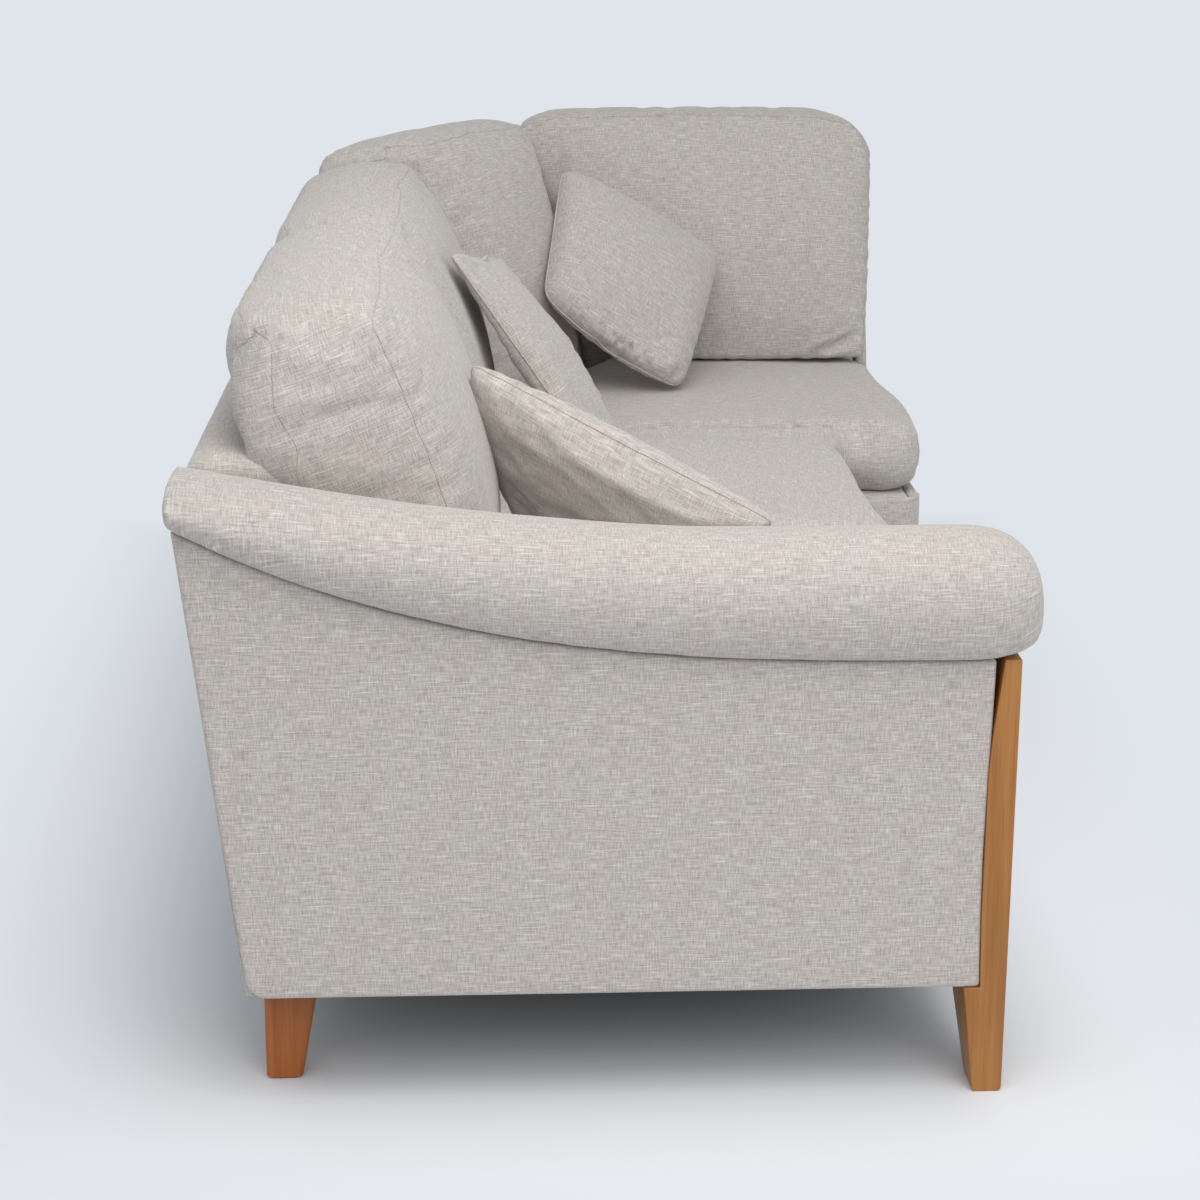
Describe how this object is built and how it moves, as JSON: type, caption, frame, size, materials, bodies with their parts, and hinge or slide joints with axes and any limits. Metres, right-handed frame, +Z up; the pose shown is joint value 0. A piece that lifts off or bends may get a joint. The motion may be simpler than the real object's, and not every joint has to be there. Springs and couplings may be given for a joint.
{
  "type": "corner sofa",
  "caption": "Linen corner sofa with a scroll arm, an oak front post, boxed loose back and seat cushions, a turned corner back and an open rounded end.",
  "frame": {"origin": "centre of the sofa's box on the floor", "axes": "+X from the near back towards the open end and the seat front, +Y from the arm towards the far back, +Z up"},
  "size_m": [1.013, 2.227, 0.8923],
  "materials": {
    "linen_cover": "woven linen",
    "linen_cushion": "woven linen",
    "linen_scatter": "woven linen",
    "oak": "satin oak",
    "frame_timber": "sawn timber",
    "plywood": "raw plywood",
    "webbing": "woven webbing",
    "lining": "black lining cloth",
    "steel": "zinc plated"
  },
  "bodies": {
    "frame": {"run_outside_back": "linen_cover", "run_inside_back": "linen_cover", "run_back_roll": "linen_cover", "corner_side_outside_back": "linen_cover", "corner_side_inside_back": "linen_cover", "corner_side_back_roll": "linen_cover", "corner_diagonal_outside_back": "linen_cover", "corner_diagonal_inside_back": "linen_cover", "corner_diagonal_back_roll": "linen_cover", "corner_far_outside_back": "linen_cover", "corner_far_inside_back": "linen_cover", "corner_far_back_roll": "linen_cover", "run_front_border": "linen_cover", "corner_front_border": "linen_cover", "corner_end_border": "linen_cover", "corner_end_cover": "linen_cover", "arm_roll": "linen_cover", "arm_outside_panel": "linen_cover", "arm_inside_panel": "linen_cover", "run_deck": "linen_cover", "corner_deck": "linen_cover", "arm_front_post": "oak", "leg_arm_rear": "oak", "leg_run_rear": "oak", "leg_run_front": "oak", "leg_corner_side": "oak", "leg_corner_front": "oak", "leg_corner_end": "oak", "leg_corner_bend": "oak", "back_sills": "frame_timber", "back_top_boards": "frame_timber", "run_front_rail": "frame_timber", "run_seat_back_rail": "frame_timber", "arm_side_rail": "frame_timber", "run_joint_rail": "frame_timber", "run_centre_rail": "frame_timber", "corner_front_rail": "frame_timber", "corner_end_rail": "frame_timber", "corner_seat_rails": "frame_timber", "arm_top_board": "frame_timber", "arm_upright": "frame_timber", "glue_blocks": "frame_timber", "back_ribs": "plywood", "back_webbing": "webbing", "seat_webbing": "webbing", "run_lining": "lining", "corner_lining": "lining", "leg_bolts": "steel", "unit_bolts": "steel", "unit_nuts": "steel"},
    "seat_cushion_1_body": {"seat_cushion_1": "linen_cushion"},
    "seat_cushion_2_body": {"seat_cushion_2": "linen_cushion"},
    "corner_seat_cushion_body": {"corner_seat_cushion": "linen_cushion"},
    "back_cushion_1_body": {"back_cushion_1": "linen_cushion"},
    "back_cushion_2_body": {"back_cushion_2": "linen_cushion"},
    "diagonal_back_cushion_body": {"diagonal_back_cushion": "linen_cushion"},
    "far_back_cushion_body": {"far_back_cushion": "linen_cushion"},
    "scatter_cushion_1_body": {"scatter_cushion_1": "linen_scatter"},
    "scatter_cushion_2_body": {"scatter_cushion_2": "linen_scatter"},
    "scatter_cushion_3_body": {"scatter_cushion_3": "linen_scatter"}
  },
  "joints": [
    {"name": "seat_cushion_1_slide", "type": "slide", "parent": "frame", "child": "seat_cushion_1_body", "axis": [1, 0, 0], "range_m": [0, 0.6]},
    {"name": "seat_cushion_2_slide", "type": "slide", "parent": "frame", "child": "seat_cushion_2_body", "axis": [1, 0, 0], "range_m": [0, 0.6]},
    {"name": "corner_seat_cushion_slide", "type": "slide", "parent": "frame", "child": "corner_seat_cushion_body", "axis": [1, 0, 0], "range_m": [0, 0.6]},
    {"name": "back_cushion_1_lift", "type": "slide", "parent": "frame", "child": "back_cushion_1_body", "axis": [-0.3454, 0, 0.9385], "range_m": [0, 0.4]},
    {"name": "back_cushion_2_lift", "type": "slide", "parent": "frame", "child": "back_cushion_2_body", "axis": [-0.3454, 0, 0.9385], "range_m": [0, 0.4]},
    {"name": "diagonal_back_cushion_lift", "type": "slide", "parent": "frame", "child": "diagonal_back_cushion_body", "axis": [-0.2991, 0.1727, 0.9385], "range_m": [0, 0.4]},
    {"name": "far_back_cushion_lift", "type": "slide", "parent": "frame", "child": "far_back_cushion_body", "axis": [0, 0.3454, 0.9385], "range_m": [0, 0.4]},
    {"name": "scatter_cushion_1_lift", "type": "slide", "parent": "frame", "child": "scatter_cushion_1_body", "axis": [0, 0, 1], "range_m": [0, 0.4]},
    {"name": "scatter_cushion_2_lift", "type": "slide", "parent": "frame", "child": "scatter_cushion_2_body", "axis": [0, 0, 1], "range_m": [0, 0.4]},
    {"name": "scatter_cushion_3_lift", "type": "slide", "parent": "frame", "child": "scatter_cushion_3_body", "axis": [0, 0, 1], "range_m": [0, 0.4]}
  ]
}
